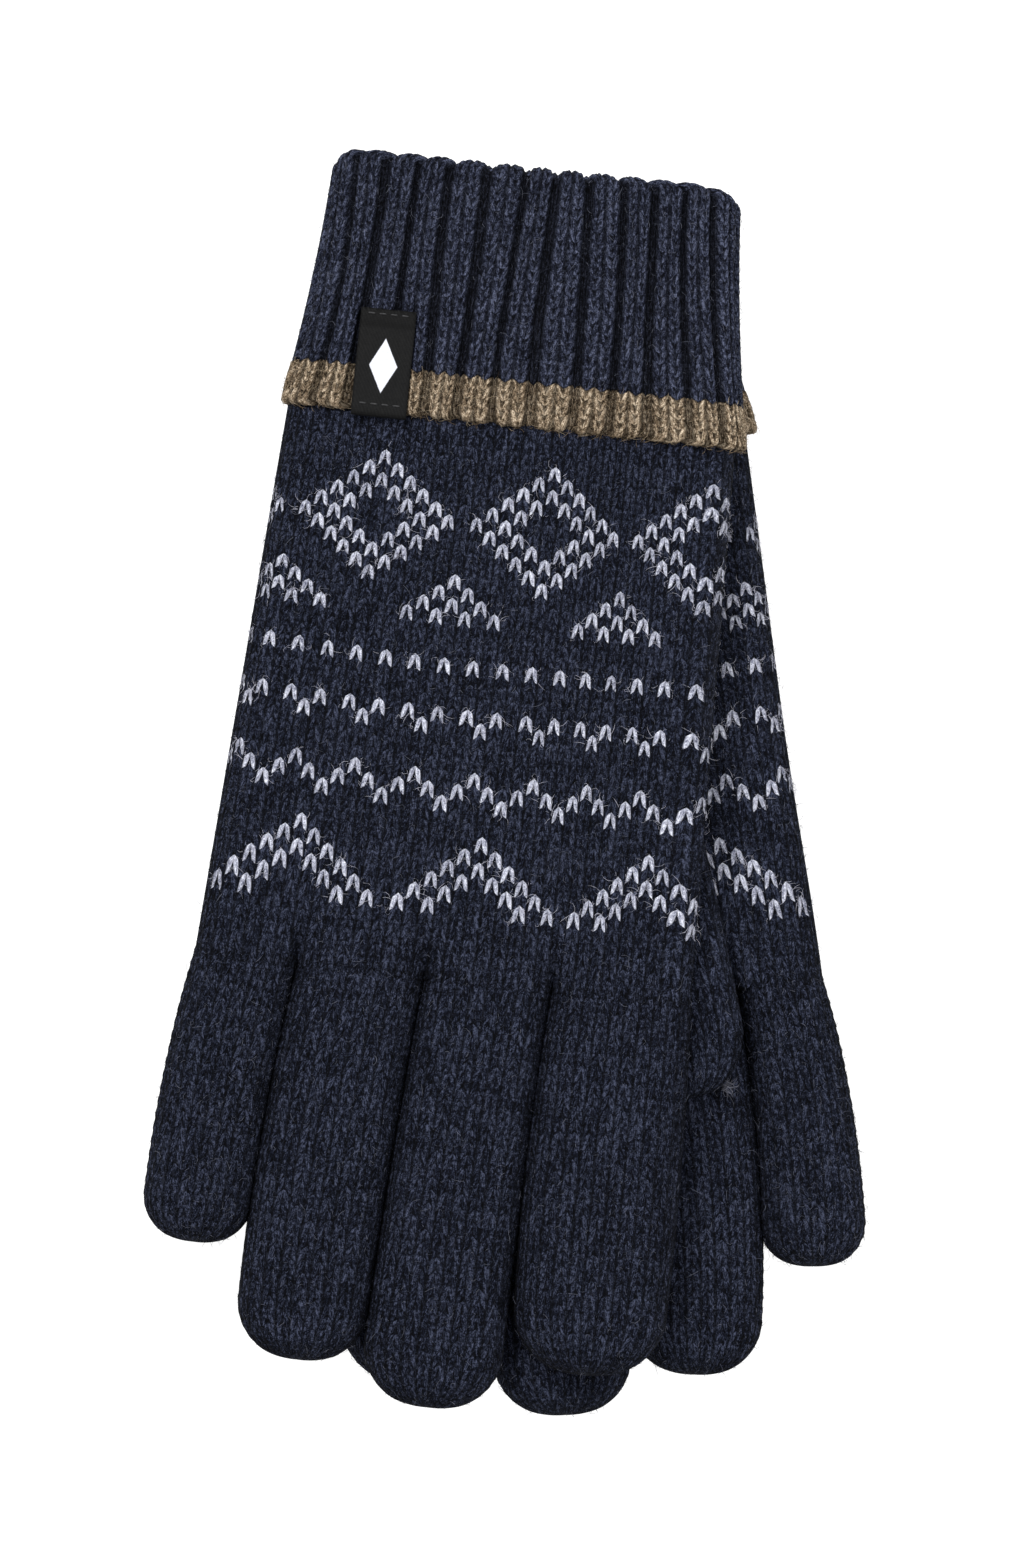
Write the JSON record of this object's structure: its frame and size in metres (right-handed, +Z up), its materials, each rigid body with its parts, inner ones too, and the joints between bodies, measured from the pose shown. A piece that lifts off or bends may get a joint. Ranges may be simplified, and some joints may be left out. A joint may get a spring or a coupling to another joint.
{
  "type": "pair of knitted gloves",
  "caption": "Pair of lined knitted winter gloves laid one on the other, with turned-up ribbed cuffs, contrast edging and a folded label on each cuff.",
  "frame": {"origin": "centre of the pair's bounding box, on the surface it lies on", "axes": "+X to the right across the hands, +Y along the hands towards the cuffs, +Z up"},
  "size_m": [0.1482, 0.2624, 0.0327],
  "materials": {
    "knit": "fuzzy jersey knit, navy marl with a light grey pattern",
    "fleece": "brushed fleece",
    "rib": "fuzzy two by two rib, navy marl",
    "edging": "fuzzy two by two rib, tan marl",
    "label": "woven satin",
    "thread": "spun sewing thread"
  },
  "bodies": {
    "lower_glove": {"lower_hand": "knit", "lower_hand_lining": "fleece", "lower_cuff_inner": "rib", "lower_cuff_turnup": "rib", "lower_cuff_trim": "edging", "lower_label": "label", "lower_label_stitches": "thread", "lower_index_finger": "knit", "lower_index_lining": "fleece", "lower_middle_finger": "knit", "lower_middle_lining": "fleece", "lower_ring_finger": "knit", "lower_ring_lining": "fleece"},
    "lower_little_body": {"lower_little_finger": "knit", "lower_little_lining": "fleece"},
    "lower_thumb_body": {"lower_thumb": "knit", "lower_thumb_lining": "fleece"},
    "upper_glove": {"upper_hand": "knit", "upper_hand_lining": "fleece", "upper_cuff_inner": "rib", "upper_cuff_turnup": "rib", "upper_cuff_trim": "edging", "upper_label": "label", "upper_label_stitches": "thread"},
    "upper_index_body": {"upper_index_finger": "knit", "upper_index_lining": "fleece"},
    "upper_middle_body": {"upper_middle_finger": "knit", "upper_middle_lining": "fleece"},
    "upper_ring_body": {"upper_ring_finger": "knit", "upper_ring_lining": "fleece"},
    "upper_little_body": {"upper_little_finger": "knit", "upper_little_lining": "fleece"},
    "upper_thumb_body": {"upper_thumb": "knit", "upper_thumb_lining": "fleece"}
  },
  "joints": [
    {"name": "upper_glove_lift", "type": "slide", "parent": "lower_glove", "child": "upper_glove", "axis": [0, 0, 1], "range_m": [0, 0.06]},
    {"name": "upper_index_flex", "type": "hinge", "parent": "upper_glove", "child": "upper_index_body", "pos_m": [0.02414, -0.04318, 0.0294], "axis": [-0.9945, 0.1045, 0], "range_deg": [0, 70]},
    {"name": "upper_middle_flex", "type": "hinge", "parent": "upper_glove", "child": "upper_middle_body", "pos_m": [-0.0035, -0.04027, 0.0294], "axis": [-0.9945, 0.1045, 0], "range_deg": [0, 70]},
    {"name": "upper_ring_flex", "type": "hinge", "parent": "upper_glove", "child": "upper_ring_body", "pos_m": [-0.02976, -0.03751, 0.0294], "axis": [-0.9945, 0.1045, 0], "range_deg": [0, 70]},
    {"name": "upper_little_flex", "type": "hinge", "parent": "upper_glove", "child": "upper_little_body", "pos_m": [-0.05413, -0.03495, 0.0294], "axis": [-0.9945, 0.1045, 0], "range_deg": [0, 70]},
    {"name": "upper_thumb_spread", "type": "hinge", "parent": "upper_glove", "child": "upper_thumb_body", "pos_m": [0.02274, 0.00563, 0.0194], "axis": [0, 0, 1], "range_deg": [0, 40]},
    {"name": "lower_little_flex", "type": "hinge", "parent": "lower_glove", "child": "lower_little_body", "pos_m": [0.05592, -0.04062, 0.013], "axis": [-0.9978, -0.0663, 0], "range_deg": [0, 60]},
    {"name": "lower_thumb_spread", "type": "hinge", "parent": "lower_glove", "child": "lower_thumb_body", "pos_m": [-0.01932, 0.00289, 0.003], "axis": [0, 0, -1], "range_deg": [0, 40]}
  ]
}
